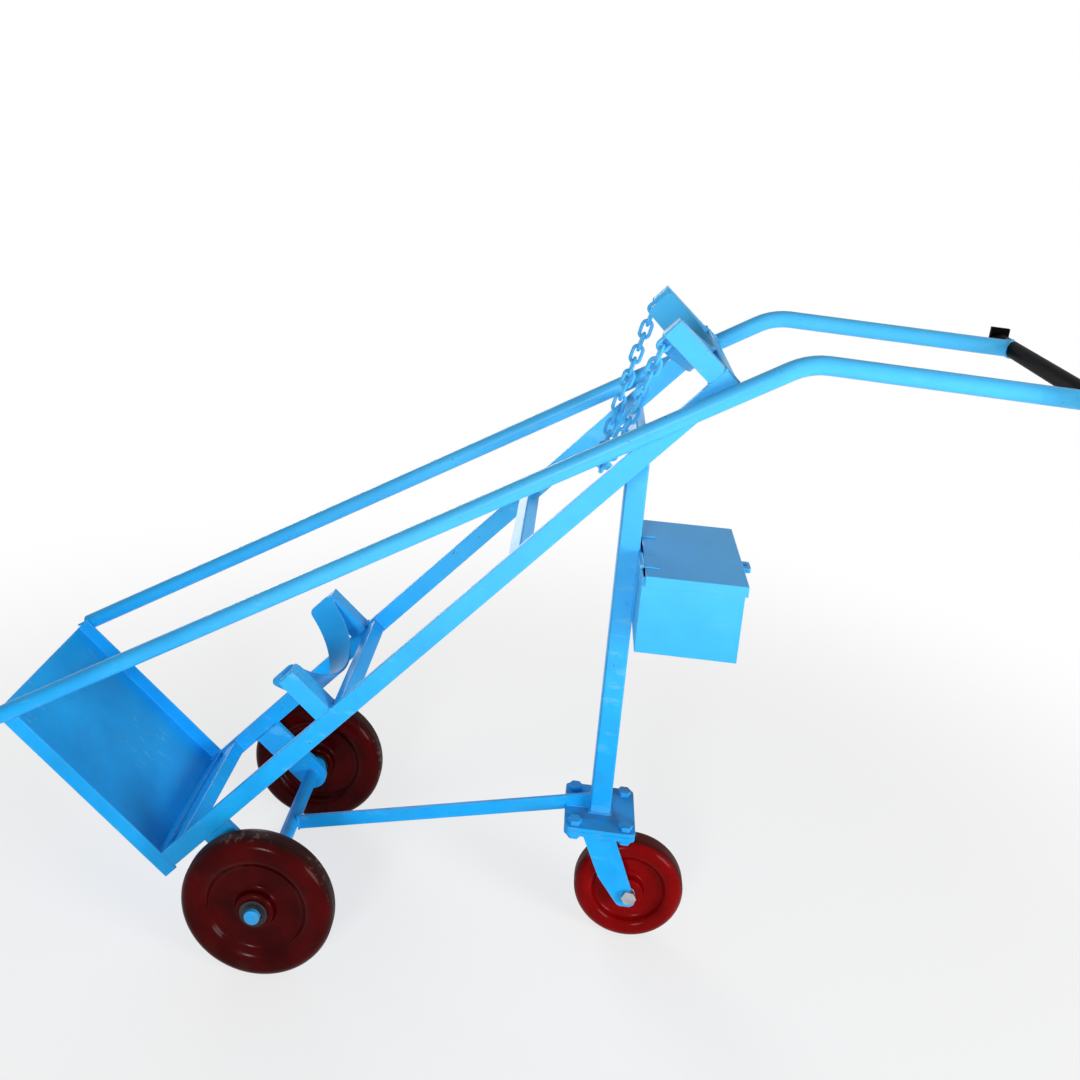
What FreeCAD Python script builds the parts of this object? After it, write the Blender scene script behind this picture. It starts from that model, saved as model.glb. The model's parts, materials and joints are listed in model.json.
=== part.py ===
import FreeCAD, Part
import math
import os
import Sketcher
from FreeCAD import Placement, Rotation, Vector

doc = FreeCAD.newDocument("gas_cylinder_trolley")
sheet = doc.addObject("Spreadsheet::Sheet", "sizes")

# Sizes in millimetres and degrees: X along the trolley, Y across it, Z up, ground at zero
SIZES = (
    # Whole trolley, insets measured from the tray end
    ("overall_length", 1295.5),
    ("bed_angle", 48),
    ("bed_height", 96.5),
    ("weld_fit", 0.05),
    ("running_fit", 0.05),
    # Flat bars and square tube of the bed
    ("tube_side", 25),
    ("tube_wall", 2),
    ("lower_rail_length", 999),
    ("lower_rail_thickness", 8),
    ("cross_side", 20),
    # Distances of the cross tubes up the bed
    ("foot_tube_at", 43.5),
    ("lower_tube_at", 351.5),
    ("middle_tube_at", 663.5),
    # Tray
    ("tray_sheet", 3),
    ("tray_depth", 316),
    ("tray_overhang", 16),
    ("tray_flange", 22),
    ("back_strip_height", 22),
    ("back_strip_thickness", 4),
    # Round tubes that run up to the handle
    ("rail_diameter", 22.2),
    ("rail_wall", 2),
    ("rail_tray_inset", 2.1),
    ("rail_end_inset", 12),
    ("handle_angle", 2.6),
    ("bend_inset", 971.85),
    ("bend_height", 866.2),
    ("bend_radius", 75),
    ("crossbar_overhang", 40),
    ("cap_width", 24),
    ("cap_height", 36),
    ("cap_thickness", 6),
    ("cap_plug", 15),
    ("cap_clearance", 0.1),
    # Posts and saddles
    ("lower_post_at", 334),
    ("lower_post_rise", 7.1),
    ("upper_post_rise", 15.6),
    ("post_chamfer", 2.5),
    ("saddle_radius", 112),
    ("saddle_strip", 3),
    ("saddle_width", 41),
    ("saddle_overlap", 13),
    ("saddle_end_angle", 5.5),
    ("saddle_corner", 8),
    ("lower_saddle_shift", 12),
    ("saddle_setback", 20.5),
    # Chain and its eyes
    ("chain_wire", 5),
    ("link_pitch", 18.5),
    ("link_inner_width", 8),
    ("link_slack", 0.4),
    ("chain_clearance", 0.8),
    ("eye_offset", 4.5),
    ("eye_drop", 10),
    ("eye_leg", 9),
    ("eye_inner_width", 7),
    # Axle and its brackets
    ("axle_inset", 374.05),
    ("axle_diameter", 20),
    ("axle_end", 10),
    ("bracket_width", 44),
    ("bracket_thickness", 8),
    ("wheel_standoff", 21),
    ("side_play", 0.2),
    ("collar_diameter", 32),
    ("washer_diameter", 37),
    ("washer_thickness", 2.5),
    ("circlip_diameter", 27),
    ("circlip_thickness", 1.2),
    ("circlip_gap", 6),
    ("groove_depth", 0.8),
    # Main wheels
    ("wheel_radius", 100),
    ("wheel_width", 40),
    ("wheel_rim_inner", 68),
    ("wheel_rim_slope", 8),
    ("wheel_web", 16),
    ("wheel_hub_radius", 26),
    ("wheel_hub_length", 42),
    ("wheel_bush_radius", 13),
    ("wheel_tread_round", 15),
    ("wheel_rim_round", 16),
    ("wheel_dish_round", 10),
    ("wheel_hub_fillet", 6),
    ("wheel_hub_round", 5),
    # Leg, brace and the two castor plates
    ("leg_inset", 805.5),
    ("leg_side", 28),
    ("leg_wall", 2),
    ("brace_height", 20),
    ("brace_thickness", 5),
    ("brace_notch", 7),
    ("plate_length", 95),
    ("plate_width", 105),
    ("plate_thickness", 6),
    ("plate_corner", 8),
    ("bolt_spacing_along", 68),
    ("bolt_spacing_across", 80),
    ("bolt_radius", 5),
    ("bolt_clearance", 0.25),
    ("bolt_head_width", 17),
    ("bolt_head_height", 6.4),
    ("bolt_nut_height", 8),
    ("bolt_end", 2),
    # Swivel head, from the plate down to the fork
    ("swivel_height", 12),
    ("race_outer_radius", 29),
    ("race_inner_radius", 17),
    ("race_lower_height", 2.5),
    ("ball_diameter", 6),
    ("ball_circle_radius", 23),
    ("ball_count", 20),
    ("swivel_gap", 0.3),
    ("kingpin_radius", 7),
    ("kingpin_head_radius", 12),
    ("kingpin_head_height", 7),
    # Castor fork and wheel
    ("castor_trail", 50),
    ("fork_headroom", 8),
    ("fork_crown", 5),
    ("fork_sheet", 4),
    ("fork_top_front", 20),
    ("fork_top_back", 24),
    ("fork_kink_along", 6),
    ("fork_kink_rise", 23),
    ("fork_toe_drop", 18),
    ("fork_toe_half", 13.5),
    ("fork_round", 9),
    ("castor_radius", 75),
    ("castor_width", 40),
    ("castor_rim_inner", 52),
    ("castor_rim_slope", 6),
    ("castor_web", 16),
    ("castor_hub_radius", 20),
    ("castor_hub_length", 44),
    ("castor_bush_radius", 9),
    ("castor_bush_length", 46),
    ("castor_tread_round", 14),
    ("castor_rim_round", 10),
    ("castor_dish_round", 8),
    ("castor_hub_fillet", 5),
    ("castor_hub_round", 3),
    ("castor_bolt_radius", 6),
    ("castor_head_width", 18),
    ("castor_head_height", 7.5),
    ("castor_nut_height", 10),
    # Toolbox
    ("box_bottom", 473),
    ("box_length", 125.5),
    ("box_width", 190),
    ("box_height", 101),
    ("box_sheet", 2),
    ("lid_gap", 0.3),
    ("lid_side_gap", 1),
    ("lid_sheet", 2),
    ("lid_lip", 14),
    ("lid_back", 3.8),
    ("hinge_spacing", 104),
    ("hinge_length", 40),
    ("hinge_leaf", 1.5),
    ("hinge_drop", 20),
    ("hinge_reach", 22),
    ("knuckle_radius", 3),
    ("knuckle_length", 10),
    ("knuckle_gap", 0.4),
    ("hinge_pin_radius", 1.5),
    ("lug_reach", 14),
    ("lug_width", 24),
    ("lug_thickness", 3),
    ("lug_hole_radius", 3.25),
    ("lug_corner", 4),
    ("lug_gap", 0.5),
)
for row, (alias, value) in enumerate(SIZES, 1):
    sheet.set(f"A{row}", alias)
    sheet.set(f"B{row}", str(value))
    sheet.setAlias(f"B{row}", alias)
doc.recompute()


# Lengths that carry both a number and the formula the document is bound to
class Size:
    def __init__(self, value, formula):
        self.value = value
        self.formula = formula

    def __add__(self, other):
        other = as_size(other)
        return Size(self.value + other.value, f"({self.formula} + {other.formula})")

    def __sub__(self, other):
        other = as_size(other)
        return Size(self.value - other.value, f"({self.formula} - {other.formula})")

    def __mul__(self, other):
        other = as_size(other)
        return Size(self.value * other.value, f"({self.formula} * {other.formula})")

    def __truediv__(self, other):
        other = as_size(other)
        return Size(self.value / other.value, f"({self.formula} / {other.formula})")

    def __neg__(self):
        return Size(-self.value, f"(0 - {self.formula})")

    def __float__(self):
        return self.value


def as_size(number):
    if isinstance(number, Size):
        return number
    return Size(float(number), f"({float(number)!r})")


def sine(angle):
    return Size(math.sin(math.radians(angle.value)), f"sin({angle.formula} * 1 deg)")


def cosine(angle):
    return Size(math.cos(math.radians(angle.value)), f"cos({angle.formula} * 1 deg)")


def tangent(angle):
    return Size(math.tan(math.radians(angle.value)), f"tan({angle.formula} * 1 deg)")


def square_root(number):
    return Size(math.sqrt(number.value), f"sqrt({number.formula})")


def arc_sine(ratio):
    return Size(math.degrees(math.asin(ratio.value)), f"(asin({ratio.formula}) / 1 deg)")


def slope_angle(rise, run):
    angle = math.degrees(math.atan2(rise.value, run.value))
    return Size(angle, f"(atan2({rise.formula}; {run.formula}) / 1 deg)")


class SheetSizes:
    def __getattr__(self, alias):
        return Size(float(sheet.get(alias)), f"sizes.{alias}")


size = SheetSizes()
SIDES = (("left", -1), ("right", 1))
AXIS_X = Vector(1, 0, 0)
AXIS_Y = Vector(0, 1, 0)
nodes = []


# Bodies, sketches and features
def new_body(name):
    body = doc.addObject("PartDesign::Body", name)
    body.Label = name
    return body


def draw_on(body, role, height=0):
    plane = next(item for item in body.Origin.OriginFeatures if item.Role == role)
    sketch = body.newObject("Sketcher::SketchObject", f"{body.Name}_sketch")
    sketch.AttachmentSupport = [(plane, "")]
    sketch.MapMode = "FlatFace"
    height = as_size(height)
    sketch.AttachmentOffset = Placement(Vector(0, 0, height.value), Rotation())
    sketch.setExpression("AttachmentOffset.Base.z", height.formula)
    return sketch


def pin_point(sketch, geometry, point, across, along):
    for kind, axis, distance in (("DistanceX", -2, across), ("DistanceY", -1, along)):
        distance = as_size(distance)
        if abs(distance.value) < 1e-9:
            sketch.addConstraint(Sketcher.Constraint("PointOnObject", geometry, point, axis))
            continue
        number = sketch.addConstraint(Sketcher.Constraint(kind, -1, 1, geometry, point, distance.value))
        sketch.setExpression(f"Constraints[{number}]", distance.formula)


def outline(sketch, points):
    first = sketch.GeometryCount
    count = len(points)
    corners = [Vector(float(across), float(along), 0) for across, along in points]
    for index in range(count):
        sketch.addGeometry(Part.LineSegment(corners[index], corners[(index + 1) % count]), False)
    for index in range(count):
        following = first + (index + 1) % count
        sketch.addConstraint(Sketcher.Constraint("Coincident", first + index, 2, following, 1))
    for index, (across, along) in enumerate(points):
        pin_point(sketch, first + index, 1, across, along)


def rectangle(sketch, left, right, low, high):
    outline(sketch, ((left, low), (right, low), (right, high), (left, high)))


def square(sketch, side):
    rectangle(sketch, -side / 2, side / 2, -side / 2, side / 2)


def hexagon(sketch, width):
    corner = width / math.sqrt(3)
    flat = width / 2
    outline(sketch, ((corner, 0), (corner / 2, flat), (-corner / 2, flat),
                     (-corner, 0), (-corner / 2, -flat), (corner / 2, -flat)))


def circle(sketch, radius, across=0, along=0):
    centre = Vector(float(across), float(along), 0)
    number = sketch.addGeometry(Part.Circle(centre, Vector(0, 0, 1), radius.value), False)
    pin_point(sketch, number, 3, across, along)
    constraint = sketch.addConstraint(Sketcher.Constraint("Radius", number, radius.value))
    sketch.setExpression(f"Constraints[{constraint}]", radius.formula)


def pad(body, sketch, length):
    feature = body.newObject("PartDesign::Pad", f"{body.Name}_pad")
    feature.Profile = sketch
    feature.Length = length.value
    feature.setExpression("Length", length.formula)
    return feature


def cut_through(body, sketch):
    feature = body.newObject("PartDesign::Pocket", f"{body.Name}_cut")
    feature.Profile = sketch
    feature.Type = "ThroughAll"
    return feature


def cut(body, sketch, length):
    feature = body.newObject("PartDesign::Pocket", f"{body.Name}_cut")
    feature.Profile = sketch
    feature.Length = length.value
    feature.setExpression("Length", length.formula)
    return feature


def revolve(body, sketch, axis="V_Axis", angle=None):
    feature = body.newObject("PartDesign::Revolution", f"{body.Name}_turn")
    feature.Profile = sketch
    feature.ReferenceAxis = (sketch, [axis])
    feature.Midplane = True
    angle = as_size(360 if angle is None else angle)
    feature.Angle = angle.value
    feature.setExpression("Angle", angle.formula)
    return feature


def round_edges(body, wanted, radius, kind="Fillet"):
    doc.recompute()
    base = body.Tip
    names = [f"Edge{number}" for number, edge in enumerate(base.Shape.Edges, 1) if wanted(edge)]
    feature = body.newObject(f"PartDesign::{kind}", f"{body.Name}_{kind.lower()}")
    feature.Base = (base, names)
    bound = "Radius" if kind == "Fillet" else "Size"
    setattr(feature, bound, radius.value)
    feature.setExpression(bound, radius.formula)
    return feature


def is_circle(radius):
    def wanted(edge):
        round_edge = edge.Curve.TypeId == "Part::GeomCircle"
        return round_edge and abs(edge.Curve.Radius - float(radius)) < 1e-4
    return wanted


def is_circle_at(radius, height):
    def wanted(edge):
        return is_circle(radius)(edge) and abs(abs(edge.Curve.Center.z) - float(height)) < 1e-4
    return wanted


def is_upright(height):
    def wanted(edge):
        if edge.Curve.TypeId != "Part::GeomLine":
            return False
        rise = abs(edge.tangentAt(edge.FirstParameter).z) * edge.Length
        return abs(rise - float(height)) < 1e-4
    return wanted


def keep(item, placement):
    item.Placement = placement
    nodes.append(item)


def group(name, template, placements):
    doc.recompute()
    copies = []
    for placement in placements:
        copy = template.Shape.copy()
        copy.Placement = placement
        copies.append(copy)
    item = doc.addObject("Part::Feature", name)
    item.Label = name
    item.Shape = Part.makeCompound(copies)
    nodes.append(item)


# Places on the trolley
def at(across, side, height, rotation=None):
    return Placement(Vector(float(across), float(side), float(height)), rotation or Rotation())


tube_half = size.tube_side / 2
saddle_outer = size.saddle_radius + size.saddle_strip
rail_inside = saddle_outer - size.saddle_overlap
rail_across = rail_inside + tube_half
frame_half = rail_inside + size.tube_side
lower_rail_half = size.lower_rail_thickness / 2
between_rails = (frame_half - size.lower_rail_thickness) * 2
cross_half = size.cross_side / 2
leg_half = size.leg_side / 2
axle_radius = size.axle_diameter / 2
axle_height = size.wheel_radius
crown_bottom = size.castor_radius * 2 + size.fork_headroom
fork_top = crown_bottom + size.fork_crown
castor_plate_bottom = fork_top + size.swivel_height
plate_top = castor_plate_bottom + size.plate_thickness * 2
bed_sine = sine(size.bed_angle)
bed_cosine = cosine(size.bed_angle)
tray_reach = size.tray_depth - size.tray_overhang
left_end = -size.overall_length / 2
bed_start = left_end + tray_reach * bed_sine + size.tray_sheet * bed_cosine
axle_along = left_end + size.axle_inset
leg_along = left_end + size.leg_inset
bed_place = at(bed_start, 0, size.bed_height, Rotation(AXIS_Y, -size.bed_angle.value))


def on_bed(up, side, out, rotation=None):
    return bed_place.multiply(at(up, side, out, rotation))


def bed_point(up, out):
    along = bed_start + up * bed_cosine - out * bed_sine
    height = size.bed_height + up * bed_sine + out * bed_cosine
    return along, height


def bed_position(along, height):
    run = along - bed_start
    rise = height - size.bed_height
    return run * bed_cosine + rise * bed_sine, rise * bed_cosine - run * bed_sine


axle_up, axle_out = bed_position(axle_along, axle_height)
leg_tube_at = (leg_along - bed_start - cross_half * bed_sine) / bed_cosine
top_tube_at = size.lower_rail_length - cross_half
upper_post_at = size.lower_rail_length - tube_half


# Tray: folded sheet with two side flanges
def build_tray():
    body = new_body("tray_floor")
    sheet_in = frame_half - size.tray_sheet
    lip = size.tray_flange - size.tray_sheet
    sketch = draw_on(body, "XY_Plane", -size.tray_overhang)
    outline(sketch, ((-size.tray_sheet, -frame_half), (lip, -frame_half), (lip, -sheet_in), (0, -sheet_in),
                     (0, sheet_in), (lip, sheet_in), (lip, frame_half), (-size.tray_sheet, frame_half)))
    pad(body, sketch, size.tray_depth)
    keep(body, on_bed(0, 0, 0))

    strip = new_body("tray_back_strip")
    sketch = draw_on(strip, "XY_Plane", tube_half - size.back_strip_thickness)
    rectangle(sketch, 0, size.back_strip_height, -between_rails / 2, between_rails / 2)
    pad(strip, sketch, size.back_strip_thickness)
    keep(strip, on_bed(0, 0, 0))


# Lower rails: flat bars on edge that stand in the tray, cut away where its flanges rise
def build_lower_rails():
    for side_name, side in SIDES:
        body = new_body(f"lower_rail_{side_name}")
        sketch = draw_on(body, "YZ_Plane")
        rectangle(sketch, -lower_rail_half, lower_rail_half, -tube_half, tube_half)
        pad(body, sketch, size.lower_rail_length)
        notch = draw_on(body, "XY_Plane", size.tube_side)
        edges = sorted((lower_rail_half * side, (lower_rail_half - size.tray_sheet) * side), key=float)
        rectangle(notch, 0, size.tray_flange - size.tray_sheet, edges[0], edges[1])
        cut_through(body, notch)
        keep(body, on_bed(0, (frame_half - lower_rail_half) * side, 0))


# Cross tubes between the lower rails
def build_cross_tubes():
    places = (("foot", size.foot_tube_at), ("lower", size.lower_tube_at), ("middle", size.middle_tube_at),
              ("leg", leg_tube_at), ("top", top_tube_at))
    for place_name, up in places:
        body = new_body(f"cross_tube_{place_name}")
        sketch = draw_on(body, "XZ_Plane", -between_rails / 2)
        square(sketch, size.cross_side)
        square(sketch, size.cross_side - size.tube_wall * 2)
        pad(body, sketch, between_rails)
        keep(body, on_bed(up, 0, 0))


# Upper rails: round tubes bent once, welded to the outside of the tray and of the lower rails,
# with a mouth at the upper end that fits round the handle
rail_radius = size.rail_diameter / 2
tray_along, tray_height = bed_point(as_size(0), tray_reach - size.rail_tray_inset)
rail_angle = slope_angle(size.bend_height - tray_height, left_end + size.bend_inset - tray_along)
crossbar_half = frame_half + size.rail_diameter + size.crossbar_overhang
cap_along = size.cap_width / 2 * cosine(size.handle_angle)
cap_reach = cap_along + size.cap_height / 2 * sine(size.handle_angle)
rail_run = size.bend_inset - size.rail_end_inset
handle_run = size.overall_length - size.bend_inset - cap_reach
rail_leg = rail_run / cosine(rail_angle)
handle_leg = handle_run / cosine(size.handle_angle)
rail_start_along = left_end + size.rail_end_inset
rail_start_height = size.bend_height - rail_run * tangent(rail_angle)
crossbar_along = left_end + size.bend_inset + handle_run
crossbar_height = size.bend_height - handle_run * tangent(size.handle_angle)
end_along = rail_leg + handle_leg * cosine(rail_angle + size.handle_angle)
end_drop = -handle_leg * sine(rail_angle + size.handle_angle)


def draw_bent_path(sketch):
    bend = rail_angle + size.handle_angle
    setback = size.bend_radius * tangent(bend / 2)
    bend_start = rail_leg - setback
    centre = Vector(bend_start.value, -size.bend_radius.value, 0)
    bent = Part.Circle(centre, Vector(0, 0, 1), size.bend_radius.value)
    quarter = math.pi / 2
    arc = Part.ArcOfCircle(bent, quarter - math.radians(bend.value), quarter)
    first = Part.LineSegment(Vector(0, 0, 0), Vector(bend_start.value, 0, 0))
    last = Part.LineSegment(arc.StartPoint, Vector(end_along.value, end_drop.value, 0))
    for piece in (first, arc, last):
        sketch.addGeometry(piece, False)
    pin_point(sketch, 0, 1, 0, 0)
    pin_point(sketch, 0, 2, bend_start, 0)
    sketch.addConstraint(Sketcher.Constraint("Tangent", 0, 2, 1, 2))
    sketch.addConstraint(Sketcher.Constraint("Tangent", 1, 1, 2, 1))
    number = sketch.addConstraint(Sketcher.Constraint("Radius", 1, size.bend_radius.value))
    sketch.setExpression(f"Constraints[{number}]", size.bend_radius.formula)
    pin_point(sketch, 2, 2, end_along, end_drop)


def build_upper_rails():
    for side_name, side in SIDES:
        body = new_body(f"upper_rail_{side_name}")
        path = draw_on(body, "XZ_Plane")
        draw_bent_path(path)
        section = draw_on(body, "YZ_Plane")
        circle(section, rail_radius)
        circle(section, rail_radius - size.rail_wall)
        pipe = body.newObject("PartDesign::AdditivePipe", f"{body.Name}_pipe")
        pipe.Profile = section
        pipe.Spine = (path, ["Edge1", "Edge2", "Edge3"])
        mouth = draw_on(body, "XZ_Plane", size.rail_diameter)
        circle(mouth, rail_radius + size.weld_fit, end_along, end_drop)
        cut_through(body, mouth)
        tilt = Rotation(AXIS_Y, -rail_angle.value)
        keep(body, at(rail_start_along, (frame_half + rail_radius) * side, rail_start_height, tilt))


# Handle: round tube across the rail ends, with a cap pushed into each end
def build_handle():
    tilt = Rotation(AXIS_Y, size.handle_angle.value)
    body = new_body("handle_crossbar")
    sketch = draw_on(body, "XZ_Plane", -crossbar_half)
    circle(sketch, rail_radius)
    circle(sketch, rail_radius - size.rail_wall)
    pad(body, sketch, crossbar_half * 2)
    keep(body, at(crossbar_along, 0, crossbar_height, tilt))

    cap = new_body("crossbar_end_cap")
    sketch = draw_on(cap, "XZ_Plane")
    half = size.cap_width / 2
    rectangle(sketch, -half, half, -size.cap_height / 2, size.cap_height / 2)
    pad(cap, sketch, size.cap_thickness)
    plug = draw_on(cap, "XZ_Plane", -size.cap_plug)
    circle(plug, rail_radius - size.rail_wall - size.cap_clearance)
    pad(cap, plug, size.cap_plug)
    half_turn = Rotation(Vector(0, 0, 1), 180)
    centre = at(crossbar_along, 0, crossbar_height, tilt)
    group("crossbar_end_caps", cap,
          [centre.multiply(at(0, -crossbar_half, 0)), centre.multiply(at(0, crossbar_half, 0, half_turn))])


# Posts on the rails, hollowed at the top where the saddle strips lie in them
seat_height = saddle_outer - square_root(saddle_outer * saddle_outer - rail_inside * rail_inside)
lower_post_height = seat_height + size.lower_post_rise
upper_post_height = seat_height + size.upper_post_rise


def build_posts():
    levels = (("lower", size.lower_post_at, lower_post_height), ("upper", upper_post_at, upper_post_height))
    for level, up, height in levels:
        for side_name, side in SIDES:
            body = new_body(f"{level}_post_{side_name}")
            sketch = draw_on(body, "XY_Plane")
            square(sketch, size.tube_side)
            pad(body, sketch, height)
            outer_edge = tube_half.value * side
            top = height.value

            def is_top(edge):
                centre = edge.CenterOfMass
                return abs(centre.z - top) < 1e-4 and centre.y * side > outer_edge * side - 1e-4

            round_edges(body, is_top, size.post_chamfer)
            seat = draw_on(body, "YZ_Plane", size.tube_side)
            circle(seat, saddle_outer + size.weld_fit, -rail_across * side, saddle_outer)
            cut_through(body, seat)
            keep(body, on_bed(up, rail_across * side, tube_half))


# Saddles: strips rolled to the load's radius
def build_saddles():
    half_angle = arc_sine(rail_inside / saddle_outer) + size.saddle_end_angle
    levels = (("lower", size.lower_post_at - size.lower_saddle_shift),
              ("upper", size.lower_rail_length - size.saddle_setback))
    for level, up in levels:
        body = new_body(f"{level}_saddle")
        sketch = draw_on(body, "XZ_Plane")
        rectangle(sketch, -size.saddle_width / 2, size.saddle_width / 2, -saddle_outer, -size.saddle_radius)
        revolve(body, sketch, "H_Axis", half_angle * 2)

        def is_corner(edge):
            straight = edge.Curve.TypeId == "Part::GeomLine"
            return straight and abs(edge.Length - size.saddle_strip.value) < 1e-4

        round_edges(body, is_corner, size.saddle_corner)
        keep(body, on_bed(up, 0, tube_half + saddle_outer))


# Bent wire: a half ring at the end of one or two straight legs along -X
def bent_end(bend_radius, wire_radius, leg):
    pieces = [Part.makeTorus(bend_radius, wire_radius, Vector(0, 0, 0), Vector(0, 0, 1), 0, 360, 180)]
    pieces[0].rotate(Vector(0, 0, 0), Vector(0, 0, 1), -90)
    for side in (-1, 1):
        start = Vector(-leg, bend_radius * side, 0)
        pieces.append(Part.makeCylinder(wire_radius, leg, start, AXIS_X))
    return pieces


def joined(pieces):
    return pieces[0].multiFuse(pieces[1:]).removeSplitter()


# Chain eyes: wire bent to a U and welded to the upper posts
wire_radius = size.chain_wire / 2
eye_up = size.lower_rail_length - size.tube_side - size.eye_leg
eye_side = rail_across + size.eye_offset
eye_out = tube_half + upper_post_height - size.eye_drop
eye_along, eye_z = bed_point(eye_up, eye_out)


def build_chain_eyes():
    bend_radius = (size.eye_inner_width + size.chain_wire) / 2
    eye = joined(bent_end(bend_radius.value, wire_radius.value, size.eye_leg.value))
    eye.rotate(Vector(0, 0, 0), AXIS_X, 90)
    eye.rotate(Vector(0, 0, 0), Vector(0, 0, 1), 180)
    copies = []
    for _, side in SIDES:
        copy = eye.copy()
        copy.Placement = on_bed(eye_up, eye_side * side, eye_out).multiply(eye.Placement)
        copies.append(copy)
    item = doc.addObject("Part::Feature", "chain_eyes")
    item.Label = "chain_eyes"
    item.Shape = Part.makeCompound(copies)
    nodes.append(item)


# Chain: welded links that hang in a slack curve and lean on the cross tube over the leg
def hanging_angles(count, step, end_step, span):
    reach = (count - 1) // 2
    flat, steep = 0.0, 50.0
    for _ in range(80):
        slope = (flat + steep) / 2
        angles = [math.atan(slope * place) for place in range(-reach, reach + 1)]
        width = sum(step * math.cos(angle) for angle in angles) + 2 * end_step * math.cos(angles[0])
        if width > span:
            flat = slope
        else:
            steep = slope
    return angles


# Fewest links that reach over the load from eye to eye, an odd number so that both end links stand alike
def link_number(step, end_step):
    over_load = math.pi * (size.saddle_radius + size.link_inner_width / 2 + size.chain_wire).value
    down_sides = (tube_half + saddle_outer - eye_out).value * 2
    links = (over_load + down_sides - end_step * 2) / step
    return 2 * math.ceil((links - 1) / 2) + 1


def chain_lean():
    tube_along, tube_height = bed_point(leg_tube_at - cross_half, cross_half)
    run = (eye_along - tube_along).value
    drop = (eye_z - tube_height).value
    half_width = (size.link_inner_width / 2 + size.chain_wire + size.chain_clearance).value
    return math.degrees(math.atan2(run, drop) + math.asin(half_width / math.hypot(run, drop)))


def build_chain():
    bend_radius = (size.link_inner_width + size.chain_wire).value / 2
    straight = (size.link_pitch + size.chain_wire).value / 2 - bend_radius
    half = bent_end(bend_radius, wire_radius.value, straight)
    for piece in half:
        piece.translate(Vector(straight, 0, 0))
    other_half = [piece.copy() for piece in half]
    for piece in other_half:
        piece.rotate(Vector(0, 0, 0), Vector(0, 0, 1), 180)
    link = joined(half + other_half)
    step = (size.link_pitch - size.link_slack * 2).value
    end_step = (wire_radius + size.link_slack).value
    angles = hanging_angles(link_number(step, end_step), step, end_step, eye_side.value * 2)
    lean = Rotation(AXIS_Y, chain_lean())
    hang = at(eye_along, 0, eye_z, lean)
    side = -eye_side.value + end_step * math.cos(angles[0])
    height = end_step * math.sin(angles[0])
    links = []
    for number, angle in enumerate(angles):
        side += step / 2 * math.cos(angle)
        height += step / 2 * math.sin(angle)
        turn = Rotation(AXIS_X, math.degrees(angle)).multiply(Rotation(Vector(0, 0, 1), 90))
        if number % 2 == 0:
            turn = turn.multiply(Rotation(AXIS_X, 90))
        copy = link.copy()
        copy.Placement = hang.multiply(at(0, side, height, turn))
        links.append(copy)
        side += step / 2 * math.cos(angle)
        height += step / 2 * math.sin(angle)
    item = doc.addObject("Part::Feature", "chain")
    item.Label = "chain"
    item.Shape = Part.makeCompound(links)
    nodes.append(item)


# Axle brackets: plates with a rounded end, welded under the lower rails
def build_axle_brackets():
    for side_name, side in SIDES:
        body = new_body(f"axle_bracket_{side_name}")
        start = (frame_half - size.bracket_thickness) if side < 0 else -frame_half
        plate = draw_on(body, "XZ_Plane", start)
        half = size.bracket_width / 2
        rectangle(plate, axle_up - half, axle_up + half, axle_out, -tube_half)
        pad(body, plate, size.bracket_thickness)
        end = draw_on(body, "XZ_Plane", start)
        circle(end, half, axle_up, axle_out)
        pad(body, end, size.bracket_thickness)
        hole = draw_on(body, "XZ_Plane", frame_half * 2)
        circle(hole, axle_radius + size.weld_fit, axle_up, axle_out)
        cut_through(body, hole)
        keep(body, on_bed(0, 0, 0))


# Axle: round bar with a circlip groove near each end
to_right = Rotation(AXIS_X, -90)
to_left = Rotation(AXIS_X, 90)
hub_inside = frame_half + size.wheel_standoff
wheel_side = hub_inside + size.wheel_hub_length / 2
hub_outside = hub_inside + size.wheel_hub_length
circlip_start = hub_outside + size.side_play * 2 + size.washer_thickness


def on_axle(side):
    return at(axle_along, 0, axle_height, to_left if side < 0 else to_right)


def build_axle():
    body = new_body("wheel_axle")
    sketch = draw_on(body, "XZ_Plane")
    end = hub_outside + size.axle_end
    groove = axle_radius - size.groove_depth
    near = circlip_start - size.side_play / 2
    far = circlip_start + size.circlip_thickness + size.side_play / 2
    upper = ((axle_radius, near), (groove, near), (groove, far),
             (axle_radius, far), (axle_radius, end), (0, end))
    lower = tuple((radius, -height) for radius, height in reversed(upper))
    outline(sketch, lower + upper)
    revolve(body, sketch)
    keep(body, on_axle(1))


# Rings on the axle
def ring_body(name, outer, inner, length):
    body = new_body(name)
    sketch = draw_on(body, "XY_Plane")
    circle(sketch, outer)
    circle(sketch, inner)
    pad(body, sketch, length)
    return body


def along_axle(distance):
    return [on_axle(side).multiply(at(0, 0, distance)) for _, side in SIDES]


def build_axle_rings():
    bore = axle_radius + size.weld_fit
    inner_washer = hub_inside - size.side_play - size.washer_thickness
    collar = ring_body("axle_collar", size.collar_diameter / 2, bore, inner_washer - frame_half)
    group("axle_collars", collar, along_axle(frame_half))
    washer = ring_body("axle_washer", size.washer_diameter / 2, bore, size.washer_thickness)
    outer_washer = hub_outside + size.side_play
    group("axle_washers", washer, along_axle(inner_washer) + along_axle(outer_washer))
    inner = axle_radius - size.groove_depth + size.weld_fit
    circlip = ring_body("axle_circlip", size.circlip_diameter / 2, inner, size.circlip_thickness)
    gap = draw_on(circlip, "XY_Plane", size.circlip_diameter)
    rectangle(gap, 0, size.circlip_diameter, -size.circlip_gap / 2, size.circlip_gap / 2)
    cut_through(circlip, gap)
    group("axle_circlips", circlip, along_axle(circlip_start))


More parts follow.
